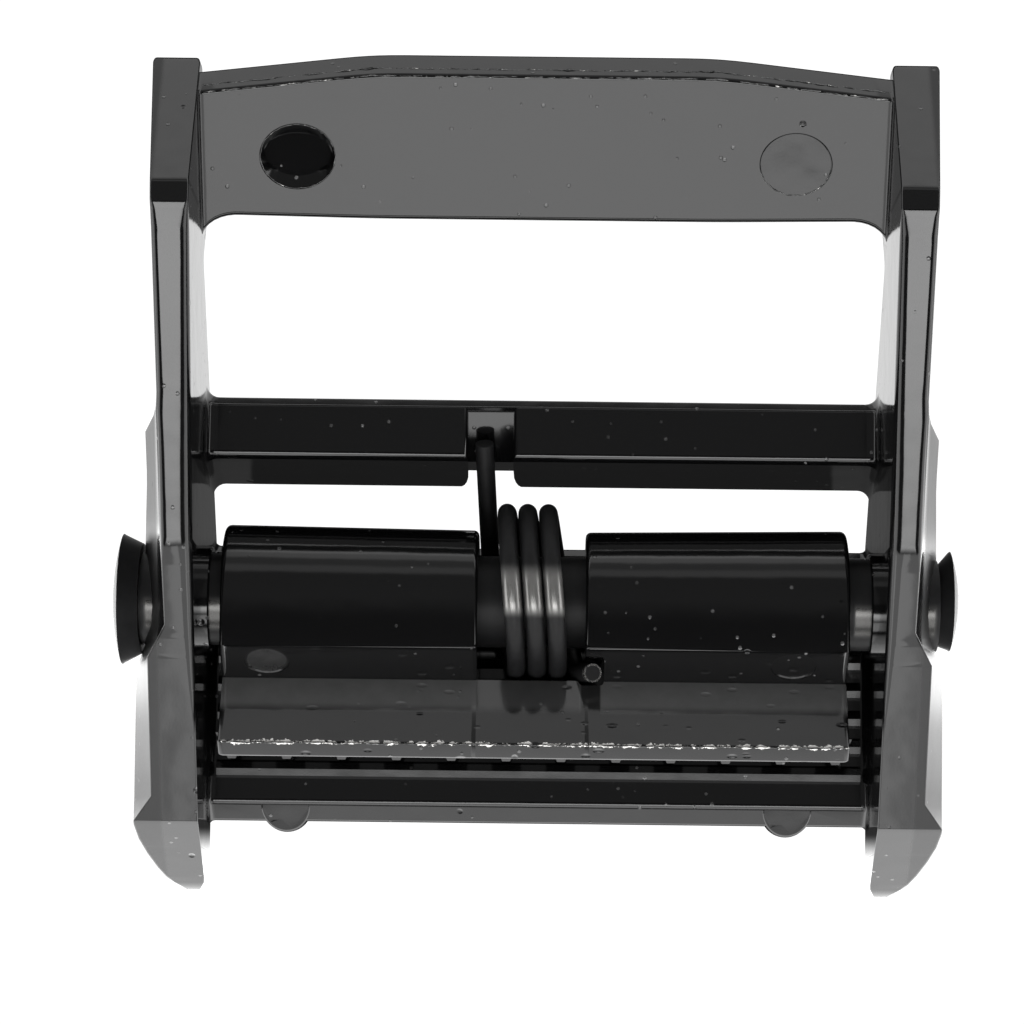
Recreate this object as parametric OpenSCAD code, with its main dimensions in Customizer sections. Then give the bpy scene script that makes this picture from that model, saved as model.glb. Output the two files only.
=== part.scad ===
// Cam buckle for 38 mm webbing: a cast frame, a sprung cam lever on a riveted pin.
// X runs across the webbing, +Y points to the anchor end, +Z is up. The origin is on
// the surface that the buckle rests on, under the middle of its box.

/* [Frame] */
// Clear width between the cheeks
inner_w = 40; // [38:0.5:44]
// Cheek thickness at its top edge
cheek_t = 2.2; // [1.8:0.1:2.6]
// How far the cheek swells outward beside the pin
pad_swell = 1.2; // [0.8:0.1:1.6]
// How far the cheek swells outward at the load end
foot_swell = 1.9; // [1.5:0.1:2.2]
// Thickness of the base plate
base_t = 2.2; // [1.8:0.1:2.4]
// Height of the cross ribs on the base plate
rib_h = 0.5; // [0.3:0.1:0.6]
// Distance from one cross rib to the next
rib_pitch = 1.7; // [1.5:0.1:2]
// Thickness of the anchor plate
plate_t = 2.4; // [2:0.1:3]

/* [Side profile] */
// Slope of the underside of the arms, degrees
arm_under_deg = 39.9; // [38:0.1:42]
// Slope of the top edge of the arms, degrees
arm_top_deg = 19.6; // [18:0.1:21]
// Slope of the cheek's top edge beside the cam, degrees
brow_deg = 27.3; // [26:0.1:29]
// Fall of the anchor end beyond the peak, degrees
anchor_end_deg = 30.2; // [28:0.1:32]
// Slope of the anchor plate's upper face, degrees
plate_deg = 31; // [29:0.5:33]
// Height of the peak of the cheeks
peak_z = 22.7; // [22:0.1:24]

/* [Cam lever] */
// Height of the pin above the surface that the buckle rests on
pin_z = 8.7; // [8.6:0.1:9]
// Pin diameter
pin_d = 5.4; // [5:0.1:5.6]
// Radius of the cam barrel
barrel_r = 4.4; // [4.2:0.1:4.6]
// Width of the cam lever
lever_w = 36.6; // [34:0.1:37]
// Length of the thumb plate from its root to its edge
thumb_l = 4.6; // [4.2:0.1:5]
// Thickness of the thumb plate
thumb_t = 1.1; // [0.9:0.1:1.4]
// Slope of the thumb plate, degrees
thumb_deg = 31; // [29:0.5:33]
// Number of teeth across the cam
teeth = 12; // [8:1:13]

/* [Rivet heads] */
// Radius of the rim of the formed rivet head, on the left
head_r = 3.9; // [3.6:0.1:4.2]
// Radius of the rim of the factory rivet head, on the right
small_head_r = 3.1; // [2.9:0.1:3.5]
// Depth of the conical underside of a rivet head
head_cone = 0.85; // [0.7:0.05:1.1]
// Height of the dome of a rivet head
head_dome = 0.65; // [0.5:0.05:0.9]

/* [Spring] */
// Diameter of the spring wire
wire_d = 1.1; // [0.9:0.05:1.1]
// Radius of the coil at the middle of the wire
coil_r = 4.7; // [4.6:0.05:4.75]
// Distance from one turn to the next
coil_pitch = 1.22; // [1.15:0.01:1.25]

/* [Hidden] */
half_in = inner_w / 2;
pin_y = -7;
bore_play = 0.1;

// Side profile of the cheeks, as points of Y and Z
back_y = -2.9;
hook_y = 12.6;
front_y = -19.65;
heel_y = -21.5;
peak_y = 15;
peak_flat = 1.2;
bend_y = -4.7;
crease_y = -20.1;
nose_y = -23.95;
nose_z = 2.2;
end_y = 23.65;
function under_z(y) = (y - back_y) * tan(arm_under_deg);
function arm_z(y) = peak_z - (peak_y - peak_flat - y) * tan(arm_top_deg);
function brow_z(y) = arm_z(bend_y) - (bend_y - y) * tan(brow_deg);
function end_z(y) = peak_z - (y - peak_y) * tan(anchor_end_deg);

// Anchor plate: its upper face passes through this foot where it meets the cheeks
plate_foot_y = 13.7;
plate_foot_z = 13.6;
plate_lip_y = 14.8;
ridge_y = 21.9;
step_y = 21.4;
function plate_z(y) = plate_foot_z + (y - plate_foot_y) * tan(plate_deg);
function off_plate(y, t) = [y + t * sin(plate_deg), plate_z(y) - t * cos(plate_deg)];
arch = 1.15;
arch_x = 10;
arch_deg = atan(arch / (half_in - arch_x));
mid_end_y = 23.95;

// Middle bar, as points of Y and Z
bar_top_z = 9.5;
bar_front_y = 1.4;
bar_back_y = 5.1;
bar_low_y = 0.65;
notch_x = [-4.4, -1.7];
notch_y = 1.6;

// Cross ribs of the base plate
ribs = 8;
rib_y = -4.7;

// Lever section, measured from the pin: a nearly flat crown, then a front face down to the thumb plate's root
crown = [-3.2, barrel_r - 0.35];
root = [-barrel_r - 0.34, 1.31];
thumb_dir = [-cos(thumb_deg), sin(thumb_deg)];
lip_deg = 42;
thumb_down = [-cos(lip_deg), -sin(lip_deg)];
thumb_edge = root + thumb_l * thumb_dir;
thumb_lip = thumb_edge + thumb_t * thumb_down;
jaw_z = -5.8;
jaw_y = -9.1;
jaw_t = 1.9;
tooth_root = 1.4;
tooth_l = 1.45;
tooth_pitch = 3.3;
lever_x = -0.3;
slot_x = [-3.65, 2.65];
slot_end_y = -4.95;

// Coil centre, from the pin; the legs push the coil back towards the anchor end
coil_y = pin_y + 0.6;
coil_z = pin_z;
turn_x = -1.7;
skew = 7.3;
lead_out = 0.28;
lead_turn = 150;
leg_a_tip = [-3.4, 2.75, 9.4];
leg_b_tip = [3.1, -11.4, 11.4];

// A Y-Z outline made solid from x0 to x1
module slab(x0, x1, points) {
    translate([x0, 0, 0]) rotate([90, 0, 90]) linear_extrude(x1 - x0) polygon(points);
}

// An X-Z outline made solid from y0 to y1
module bar(y0, y1, points) {
    translate([0, y1, 0]) rotate([90, 0, 0]) linear_extrude(y1 - y0) polygon(points);
}

module both_sides() {
    children();
    mirror([1, 0, 0]) children();
}

// Side outline of a cheek
function cheek_outline() = [
    [heel_y, 0], [back_y, 0], [hook_y, under_z(hook_y)],
    off_plate(plate_foot_y, plate_t), off_plate(end_y - 1.6, plate_t), [end_y, end_z(end_y) - 0.8],
    [end_y - 0.2, end_z(end_y - 0.2)], [peak_y, peak_z], [peak_y - peak_flat, peak_z],
    [bend_y, arm_z(bend_y)], [crease_y, brow_z(crease_y)], [nose_y, nose_z], [nose_y + 0.7, 0.9]
];

// Outline of one cheek seen from above, which rounds its nose
function cheek_plan() = [
    [half_in - 1, nose_y - 1], [half_in + 0.8, nose_y - 1], [half_in + 0.8, nose_y], [half_in + 1.6, nose_y + 0.3],
    [half_in + 2.4, nose_y + 0.9], [half_in + 3.2, nose_y + 1.9], [half_in + 3.7, nose_y + 3],
    [half_in + 4.4, nose_y + 4.4], [half_in + 4.4, end_y + 1], [half_in - 1, end_y + 1]
];

// Thickness of the cheek's top edge, thinner beside the cam and thicker at both ends
function edge_plan() = [
    [half_in - 1, nose_y - 1], [half_in + cheek_t + 0.5, nose_y - 1], [half_in + cheek_t + 0.5, -10.9],
    [half_in + cheek_t - 0.55, -9.1], [half_in + cheek_t, peak_y], [half_in + cheek_t + 0.6, end_y + 1],
    [half_in - 1, end_y + 1]
];

// One slice of a swelling: its greatest reach outward, and the top edge that its flank leads to
module swell_slice(y, top, out, edge, low, high) {
    rise = 1.3;
    bar(y, y + 0.1, [[half_in - 1, -1], [half_in + out - 1.4, -1], [half_in + out, low], [half_in + out, high],
        [half_in + out + rise * (edge - out), high + rise * (top - high)], [half_in - 1, high + rise * (top - high)]]);
}

module pad_swelling() {
    out = cheek_t + pad_swell;
    hull() {
        swell_slice(2.6, arm_z(2.6), out, cheek_t - 0.3, 7, 9.5);
        swell_slice(bend_y, arm_z(bend_y), out, cheek_t - 0.45, 3, 9.5);
        swell_slice(-9.7, brow_z(-9.7), out, cheek_t - 0.55, 3, 9.2);
        swell_slice(3.6, arm_z(3.6), cheek_t, cheek_t - 0.3, 7, 9);
    }
}

module foot_swelling() {
    out = cheek_t + foot_swell;
    hull() {
        swell_slice(-9.8, brow_z(-9.8) - 0.6, out - 0.9, cheek_t - 0.4, 4, 7);
        swell_slice(-11, brow_z(-11), out, cheek_t + 0.5, 4.5, 6.5);
        swell_slice(nose_y - 1, brow_z(nose_y - 1), out, cheek_t + 0.5, 4.5, 6);
    }
}

module cheek() {
    intersection() {
        slab(half_in, half_in + 5, cheek_outline());
        translate([0, 0, -1]) linear_extrude(30) polygon(cheek_plan());
        union() {
            translate([0, 0, -1]) linear_extrude(30) polygon(edge_plan());
            pad_swelling();
            foot_swelling();
        }
    }
    translate([half_in - 0.65, pin_y, pin_z]) rotate([0, 90, 0]) cylinder(h = 0.75, r = 3.1, $fn = 64);
}

// Section of the anchor plate: ridge, step, sloping face, rounded lip
function plate_section() = [
    off_plate(plate_foot_y, plate_t) + [0.5, 0.2], off_plate(end_y - 1.6, plate_t), [end_y, end_z(end_y) - 0.8],
    [end_y - 0.2, end_z(end_y - 0.2)], [ridge_y, end_z(ridge_y)], [step_y, plate_z(step_y)],
    [plate_foot_y, plate_z(plate_foot_y)], off_plate(plate_foot_y, plate_t / 2) + [-0.5, -0.1]
];

module anchor_plate() {
    intersection() {
        union() {
            translate([0, mid_end_y - end_y, 0]) slab(-arch_x, arch_x, plate_section());
            both_sides() translate([arch_x, mid_end_y, 0]) rotate([0, 0, -arch_deg]) translate([0, -end_y, 0])
                slab(0, half_in - arch_x + 1, plate_section());
        }
        slab(-half_in - 0.3, half_in + 0.3, [
            off_plate(plate_lip_y, -10), off_plate(plate_lip_y, 10), [end_y + 9, 0], [end_y + 9, 30]
        ]);
    }
    both_sides() plate_corner();
}

// Fillet of the anchor plate's lower edge where it runs into a cheek
module plate_corner() {
    r = 1.6;
    intersection() {
        slab(half_in - r, half_in + 0.2, plate_section());
        difference() {
            translate([half_in - r, plate_lip_y - r, 0]) cube([r + 0.2, r + 0.2, 30]);
            translate([half_in - r, plate_lip_y - r, -1]) cylinder(h = 40, r = r, $fn = 48);
        }
    }
}

module middle_bar() {
    difference() {
        slab(-half_in - 0.2, half_in + 0.2, [
            [bar_low_y, 3.2], [bar_low_y + 0.5, under_z(bar_low_y + 0.5)], [bar_back_y, under_z(bar_back_y)],
            [bar_back_y, bar_top_z - 0.5], [bar_back_y - 0.45, bar_top_z], [bar_front_y, bar_top_z]
        ]);
        spring_notch();
    }
}

// Pocket in the middle bar that holds the end of the spring's long leg
module spring_notch() {
    slab(notch_x[0], notch_x[1], [
        [-1, 0], [notch_y, 0], [notch_y, 7.2], [3, 8.6], [bar_back_y - 0.5, bar_top_z], [4.6, 12], [-1, 12]
    ]);
}

module base_plate() {
    slab(-half_in - 0.2, half_in + 0.2, [
        [front_y, 0.5], [front_y + 0.5, 0], [back_y - 0.4, 0], [back_y, 0.4], [back_y, base_t - 0.7],
        [back_y - 0.7, base_t], [front_y + 1.2, base_t], [front_y, base_t - 0.6]
    ]);
    for (i = [0:ribs - 1]) translate([0, rib_y - i * rib_pitch, base_t]) cross_rib();
    for (x = [-15.3, 15.1]) translate([x, -18.8, 0]) cylinder(h = 1.4, r = 1.5, $fn = 48);
    both_sides() base_corner();
}

module cross_rib() {
    slab(-half_in + 0.6, half_in - 0.6, [[-0.55, -0.1], [0.55, -0.1], [0.15, rib_h], [-0.15, rib_h]]);
}

// Fillet where the base plate's front edge runs into a cheek
module base_corner() {
    r = 0.5;
    difference() {
        translate([half_in - r, front_y - r, 0.5]) cube([r + 0.2, r + 0.3, base_t - 1.1]);
        translate([half_in - r, front_y - r, 0]) cylinder(h = 5, r = r, $fn = 48);
    }
}

module frame() color([0.09, 0.09, 0.1]) {
    difference() {
        union() {
            both_sides() cheek();
            anchor_plate();
            middle_bar();
            base_plate();
        }
        translate([-30, pin_y, pin_z]) rotate([0, 90, 0]) cylinder(h = 60, d = pin_d + 0.04, $fn = 64);
    }
}

// Side outline of the lever behind the barrel, measured from the pin
function lever_outline() = [
    [0, barrel_r - 0.05], crown, root, thumb_edge, thumb_lip,
    thumb_lip - (thumb_l - 1.6) * thumb_dir, [jaw_y + 2.1, -2.2], [jaw_y + tooth_root, jaw_z + jaw_t],
    [jaw_y + tooth_root, jaw_z], [-5, jaw_z], [-3.9, jaw_z + 0.9], [0, -barrel_r], [0, 0]
];

// Teeth along the jaw's edge below the thumb plate, cut off at the lever's ends
module jaw_teeth() {
    intersection() {
        for (i = [0:teeth - 1])
            translate([lever_x + (i - (teeth - 1) / 2) * tooth_pitch, jaw_y + tooth_root, jaw_z])
                linear_extrude(jaw_t) polygon([[-1.1, 0.1], [-0.25, -tooth_l], [0.25, -tooth_l], [1.1, 0.1]]);
        translate([lever_x - lever_w / 2, 2 * jaw_y, 2 * jaw_z]) cube([lever_w, -2 * jaw_y, -2 * jaw_z]);
    }
}

module cam_lever() color([0.08, 0.08, 0.09]) {
    translate([0, pin_y, pin_z]) difference() {
        union() {
            translate([lever_x - lever_w / 2, 0, 0]) rotate([0, 90, 0]) cylinder(h = lever_w, r = barrel_r, $fn = 96);
            slab(lever_x - lever_w / 2, lever_x + lever_w / 2, lever_outline());
            jaw_teeth();
        }
        translate([-30, 0, 0]) rotate([0, 90, 0]) cylinder(h = 60, d = pin_d + bore_play, $fn = 64);
        coil_slot();
    }
}

// Slot for the coil, with a small notch beside it for the short leg
module coil_slot() {
    slab(slot_x[0], slot_x[1], [
        [-barrel_r - 3, -9], [slot_end_y, -7], [slot_end_y, 0.6], [root[0], root[1]],
        [root[0] + 0.01, 9], [7, 9], [7, -9]
    ]);
    translate([slot_x[1] - 0.5, slot_end_y - 0.1, -2.6]) cube([1.8, 1.7, 9]);
}

// Half outline of the pin, as radius and distance from the middle of the buckle
function head_outline(x, r) = concat(
    [[0, 0], [pin_d / 2, 0], [pin_d / 2, x], [r - 0.7, x], [r, x + head_cone]],
    [for (i = [1:8]) [r * cos(i * 90 / 8), x + head_cone + head_dome * sin(i * 90 / 8)]]
);

module half_pin(r) {
    translate([0, pin_y, pin_z]) rotate([0, 90, 0])
        rotate_extrude($fn = 96) polygon(head_outline(half_in + cheek_t + pad_swell + 0.05, r));
}

module pivot_pin() color([0.1, 0.1, 0.11]) {
    half_pin(small_head_r);
    mirror([1, 0, 0]) half_pin(head_r);
}

// Centre line of the spring: the long leg, the coil, the short leg
coil_start = -54.8;
coil_end = -1260;
coil_steps = 84;
function lead(a) = lead_out * pow(max(0, 1 - (coil_start - a) / lead_turn), 2);
function coil_point(a) = let (dy = coil_r * cos(a), dz = coil_r * sin(a))
    [turn_x + coil_pitch * (-270 - a) / 360 - tan(skew) * dy - lead(a), coil_y + dy, coil_z + dz];
spring_line = concat(
    [leg_a_tip, leg_a_tip + 0.5 * (coil_point(coil_start) - leg_a_tip)],
    [for (i = [0:coil_steps]) coil_point(coil_start + (coil_end - coil_start) * i / coil_steps)],
    [coil_point(coil_end) + 0.5 * (leg_b_tip - coil_point(coil_end)), leg_b_tip]
);

// A round wire swept along a line of points as one closed solid
module wire(line, d, sides) {
    n = len(line);
    function along(i) = let (v = line[min(i + 1, n - 1)] - line[max(i - 1, 0)]) v / norm(v);
    function side(i) = let (s = cross(along(i), [1, 0, 0])) s / norm(s);
    function ring(i) = let (u = side(i), w = cross(along(i), u))
        [for (k = [0:sides - 1]) line[i] + d / 2 * (cos(360 * k / sides) * u + sin(360 * k / sides) * w)];
    points = [for (i = [0:n - 1]) each ring(i)];
    walls = [for (i = [0:n - 2]) for (k = [0:sides - 1]) let (a = i * sides + k, b = i * sides + (k + 1) % sides)
        [a, b, b + sides, a + sides]];
    ends = [[for (k = [sides - 1:-1:0]) k], [for (k = [0:sides - 1]) (n - 1) * sides + k]];
    polyhedron(points, concat(walls, ends), convexity = 10);
}

module torsion_spring() color([0.14, 0.14, 0.15]) wire(spring_line, wire_d, 10);

frame();
cam_lever();
pivot_pin();
torsion_spring();
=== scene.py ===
"""Dresses the cam buckle: cast frame, cam lever, riveted pin and spring, on a pale studio floor."""
import math

import bmesh
import bpy
import numpy as np
from mathutils import Matrix, Vector


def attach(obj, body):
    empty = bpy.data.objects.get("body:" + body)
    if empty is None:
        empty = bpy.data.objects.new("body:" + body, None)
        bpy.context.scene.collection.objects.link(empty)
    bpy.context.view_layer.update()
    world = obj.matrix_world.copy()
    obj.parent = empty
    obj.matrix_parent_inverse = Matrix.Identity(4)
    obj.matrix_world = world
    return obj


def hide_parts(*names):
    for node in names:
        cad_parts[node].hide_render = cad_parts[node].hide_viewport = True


bl_info = {
    "name": "Cam buckle",
    "version": (1, 0, 0),
    "blender": (4, 5, 0),
    "location": "3D View > Sidebar > Cam buckle",
    "description": "Builds a die-cast cam buckle for webbing around its packed model",
    "category": "Object",
}

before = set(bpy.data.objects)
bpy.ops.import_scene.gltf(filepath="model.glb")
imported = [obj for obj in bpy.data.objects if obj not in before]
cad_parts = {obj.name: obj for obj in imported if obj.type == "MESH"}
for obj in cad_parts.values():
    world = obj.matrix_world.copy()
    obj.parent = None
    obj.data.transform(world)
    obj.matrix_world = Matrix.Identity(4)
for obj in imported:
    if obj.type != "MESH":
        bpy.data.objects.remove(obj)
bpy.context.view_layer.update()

# Everything below is worked out in millimetres and made metres as a mesh is written
MM = 0.001
HALF_IN = 20.0
PIN_Y = -7.0
PIN_Z = 8.7
PIN_R = 2.7
BARREL_R = 4.4
BASE_T = 2.2
PLATE_T = 2.4
SWEEP = 1.15
SLOPE = math.radians(31)
ROOT_BODY = "buckle_frame"
LEVER_BODY = "lever"


def tan(degrees):
    return math.tan(math.radians(degrees))


def under_z(y):
    """Underside of the arms."""
    return (y + 2.9) * tan(39.9)


def arm_z(y):
    """Top edge of the arms."""
    return 22.7 - (13.8 - y) * tan(19.6)


def brow_z(y):
    """Top edge of the cheeks beside the cam."""
    return arm_z(-4.7) - (-4.7 - y) * tan(27.3)


def end_z(y):
    """Top edge beyond the peak."""
    return 22.7 - (y - 15) * tan(30.2)


def plate_z(y):
    """Upper face of the anchor plate."""
    return 13.6 + (y - 13.7) * math.tan(SLOPE)


def under_plate(y, depth):
    """A point at a depth square below the anchor plate's upper face."""
    return (y + depth * math.sin(SLOPE), plate_z(y) - depth * math.cos(SLOPE))


def swept_back(x):
    """How far the anchor plate's section stands back towards -Y at a place along X."""
    return SWEEP * max(abs(x) - 10, 0) / 10 - 0.3


def circle(centre, radius, count):
    """Points round a centre, counted from the first axis towards the second."""
    return [(centre[0] + radius * math.cos(a), centre[1] + radius * math.sin(a))
            for a in np.linspace(0, 2 * math.pi, count, endpoint=False)]


def rounded(corners, radii, steps=5):
    """Points and outward normals of an outline with its corners made arcs; radius 0 keeps one point."""
    pts = np.array(corners, float)
    radii = list(radii) if hasattr(radii, "__len__") else [radii] * len(pts)
    following = np.roll(pts, -1, axis=0)
    if float(np.sum(pts[:, 0] * following[:, 1] - following[:, 0] * pts[:, 1])) < 0:
        pts = pts[::-1]
        radii = radii[::-1]
    points, normals = [], []
    for i, corner in enumerate(pts):
        back = corner - pts[i - 1]
        ahead = pts[(i + 1) % len(pts)] - corner
        long_back, long_ahead = np.linalg.norm(back), np.linalg.norm(ahead)
        back, ahead = back / long_back, ahead / long_ahead
        turn = math.atan2(back[0] * ahead[1] - back[1] * ahead[0], float(back @ ahead))
        if radii[i] == 0:
            n = np.array([back[1] + ahead[1], -back[0] - ahead[0]])
            points.append(corner)
            normals.append(n / np.linalg.norm(n))
            continue
        reach = min(radii[i] * abs(math.tan(turn / 2)), 0.48 * long_back, 0.48 * long_ahead)
        radius = math.copysign(reach / max(abs(math.tan(turn / 2)), 1e-6), turn)
        start = math.atan2(-back[0], back[1])
        centre = corner - back * reach - radius * np.array([math.cos(start), math.sin(start)])
        for k in range(steps + 1):
            a = start + turn * k / steps
            n = np.array([math.cos(a), math.sin(a)])
            points.append(centre + radius * n)
            normals.append(n)
    return np.array(points), np.array(normals)


def solid_from(rings):
    """A closed bmesh through rings of equal count, in millimetres."""
    bm = bmesh.new()
    loops = [[bm.verts.new([float(c) for c in p]) for p in ring] for ring in rings]
    count = len(loops[0])
    for one, two in zip(loops, loops[1:]):
        for k in range(count):
            j = (k + 1) % count
            bm.faces.new((one[k], one[j], two[j], two[k]))
    bm.faces.new(loops[0][::-1])
    bm.faces.new(loops[-1])
    bmesh.ops.remove_doubles(bm, verts=bm.verts, dist=0.0008)
    bmesh.ops.recalc_face_normals(bm, faces=bm.faces)
    return bm


def object_of(name, bm):
    mesh = bpy.data.meshes.new(name)
    bm.to_mesh(mesh)
    bm.free()
    obj = bpy.data.objects.new(name, mesh)
    bpy.context.collection.objects.link(obj)
    return obj


def drop(obj):
    mesh = obj.data
    bpy.data.objects.remove(obj)
    if mesh.users == 0:
        bpy.data.meshes.remove(mesh)


def evaluated(obj):
    """The object's mesh with its modifiers applied."""
    graph = bpy.context.evaluated_depsgraph_get()
    return bpy.data.meshes.new_from_object(obj.evaluated_get(graph), depsgraph=graph)


def settle(obj):
    """Swap the object's mesh for its evaluated one and take the modifiers off."""
    mesh = evaluated(obj)
    old = obj.data
    obj.modifiers.clear()
    obj.data = mesh
    if old.users == 0:
        bpy.data.meshes.remove(old)
    return obj


def combine(base, others, operation):
    """Unite solids with base, or cut them from it."""
    for other in others:
        modifier = base.modifiers.new(operation, "BOOLEAN")
        modifier.operation = operation
        modifier.solver = "MANIFOLD"
        modifier.object = other
        settle(base)
        drop(other)
    return base


def finished(obj, body, material, nodes=(), angle=34.0):
    """Scale a millimetre mesh to metres, shade it, and hand it to the frame."""
    obj.data.transform(Matrix.Scale(MM, 4))
    for polygon in obj.data.polygons:
        polygon.use_smooth = True
    obj.data.set_sharp_from_angle(angle=math.radians(angle))
    modifier = obj.modifiers.new("weights", "WEIGHTED_NORMAL")
    modifier.keep_sharp = True
    settle(obj)
    obj.data.materials.clear()
    obj.data.materials.append(material)
    for polygon in obj.data.polygons:
        polygon.material_index = 0
    if len(obj.data.polygons) == 0:
        raise RuntimeError(obj.name + " came out empty")
    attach(obj, body)
    if nodes:
        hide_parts(*nodes)
    return obj


class Wire:
    """An output socket; arithmetic on it adds Math nodes."""

    def __init__(self, tree, socket):
        self.tree = tree
        self.socket = socket

    def maths(self, operation, *others):
        node = self.tree.nodes.new("ShaderNodeMath")
        node.operation = operation
        for slot, value in zip(node.inputs, (self,) + others):
            plug(self.tree, slot, value)
        return Wire(self.tree, node.outputs[0])

    def __add__(self, other):
        return self.maths("ADD", other)

    def __sub__(self, other):
        return self.maths("SUBTRACT", other)

    def __mul__(self, other):
        return self.maths("MULTIPLY", other)

    def __rsub__(self, other):
        return self.maths("MULTIPLY", -1.0).maths("ADD", other)

    __radd__ = __add__
    __rmul__ = __mul__

    def smooth(self, low, high):
        """0 below low, 1 above high, eased between them."""
        node = self.tree.nodes.new("ShaderNodeMapRange")
        node.interpolation_type = "SMOOTHSTEP"
        plug(self.tree, node.inputs[0], self)
        node.inputs[1].default_value = low
        node.inputs[2].default_value = high
        return Wire(self.tree, node.outputs[0])

    def between(self, rise, full, fall, gone):
        """1 from full to fall, 0 before rise and after gone, eased at both ends."""
        return self.smooth(rise, full) * (1 - self.smooth(fall, gone))


def plug(tree, slot, value):
    if isinstance(value, Wire):
        tree.links.new(value.socket, slot)
    else:
        slot.default_value = value


class Bench:
    """A node tree being wired up."""

    def __init__(self, tree):
        self.tree = tree
        tree.nodes.clear()

    def add(self, kind, settings=None, sockets=None, out=0):
        """One node of a kind: its settings first, then its sockets; gives back one output."""
        node = self.tree.nodes.new(kind)
        for key, value in (settings or {}).items():
            if key == "stops":
                ramp = node.color_ramp.elements
                while len(ramp) < len(value):
                    ramp.new(0.5)
                for element, (place, level) in zip(ramp, value):
                    element.position = place
                    element.color = tuple(level) if hasattr(level, "__len__") else (level, level, level, 1)
            else:
                setattr(node, key, value)
        for key, value in (sockets or {}).items():
            plug(self.tree, node.inputs[key], value)
        return Wire(self.tree, node.outputs[out]) if node.outputs else node


class BuckleSizes(bpy.types.PropertyGroup):
    """Sizes that a user would change."""

    wire_diameter: bpy.props.FloatProperty(
        name="Spring wire", description="Diameter of the spring wire", default=0.0011, min=0.0009,
        max=0.0011, subtype="DISTANCE", unit="LENGTH")
    rib_pitch: bpy.props.FloatProperty(
        name="Rib pitch", description="Distance from one cross rib to the next", default=0.0017, min=0.0015,
        max=0.002, subtype="DISTANCE", unit="LENGTH")
    rib_count: bpy.props.IntProperty(
        name="Ribs", description="Number of cross ribs on the base plate", default=8, min=4, max=8)
    tooth_count: bpy.props.IntProperty(
        name="Teeth", description="Number of teeth along the cam", default=12, min=8, max=13)
    edge_round: bpy.props.FloatProperty(
        name="Edge rounding", description="Radius of the crisp cast edges", default=0.00015, min=0.00005,
        max=0.0003, subtype="DISTANCE", unit="LENGTH")


class BuckleFinish(bpy.types.PropertyGroup):
    """Colours and surface of the finishes."""

    paint: bpy.props.FloatVectorProperty(
        name="Paint", description="Colour of the gloss paint", default=(0.0035, 0.0035, 0.0037),
        size=3, min=0, max=1, subtype="COLOR")
    metal: bpy.props.FloatVectorProperty(
        name="Bare metal", description="Colour of the metal where the paint is chipped",
        default=(0.72, 0.71, 0.69), size=3, min=0, max=1, subtype="COLOR")
    steel: bpy.props.FloatVectorProperty(
        name="Blackened steel", description="Colour of the pin and the spring",
        default=(0.008, 0.008, 0.0083), size=3, min=0, max=1, subtype="COLOR")
    roughness: bpy.props.FloatProperty(
        name="Paint roughness", description="Roughness of the gloss paint", default=0.1, min=0.02, max=0.5,
        subtype="FACTOR")
    speck_size: bpy.props.FloatProperty(
        name="Speck spacing", description="Typical distance between specks in the paint", default=0.0022,
        min=0.0005, max=0.01, subtype="DISTANCE", unit="LENGTH")


class BuckleStage(bpy.types.PropertyGroup):
    """Light and floor."""

    floor: bpy.props.FloatProperty(
        name="Floor", description="Brightness of the pale floor to the eye", default=1.1, min=0, max=4)
    key: bpy.props.FloatProperty(
        name="Key panel", description="Brightness of the soft box above the load end", default=7.0,
        min=0, max=20)
    fill: bpy.props.FloatProperty(
        name="Fill panel", description="Brightness of the large dim panel below the soft box", default=3.4,
        min=0, max=10)
    horizon: bpy.props.FloatProperty(
        name="Horizon", description="Brightness of the pale walls all round", default=2.2, min=0, max=10)


def fresh_material(name):
    """A new material with its bench."""
    material = bpy.data.materials.new(name)
    material.use_nodes = True
    return material, Bench(material.node_tree)


def in_millimetres(b):
    """Object coordinates, in millimetres."""
    coordinates = b.add("ShaderNodeTexCoord", out=3)
    scale = (1 / MM, 1 / MM, 1 / MM)
    return b.add("ShaderNodeMapping", {"vector_type": "POINT"}, {"Vector": coordinates, "Scale": scale})


def axes_of(b, place):
    """The three parts of a vector, each as a wire."""
    apart = b.add("ShaderNodeSeparateXYZ", None, {"Vector": place})
    return [Wire(apart.tree, socket) for socket in apart.socket.node.outputs]


def noise(b, place, scale, detail, roughness):
    return b.add("ShaderNodeTexNoise", None, {
        "Vector": place, "Scale": scale, "Detail": detail, "Roughness": roughness})


def cells_of(b, place, scale):
    """Distance to the nearest of a field of scattered points."""
    return b.add("ShaderNodeTexVoronoi", None, {"Vector": place, "Scale": scale, "Randomness": 1.0})


# Grey of the dust on the paint, and of the light painted on the thumb plate
DUST_AND_LIGHT_GREY = 0.12


def distance(b, place, point):
    return b.add("ShaderNodeVectorMath", {"operation": "DISTANCE"}, {0: place, 1: point}, out=1)


def blend(b, factor, one, other):
    """A colour between one and another."""
    return b.add("ShaderNodeMix", {"data_type": "RGBA"}, {"Factor": factor, 6: one, 7: other}, out=2)


def bump_of(b, height):
    """The normal that a height in millimetres gives."""
    return b.add("ShaderNodeBump", None, {"Strength": 1.0, "Distance": MM, "Height": height})


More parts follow.
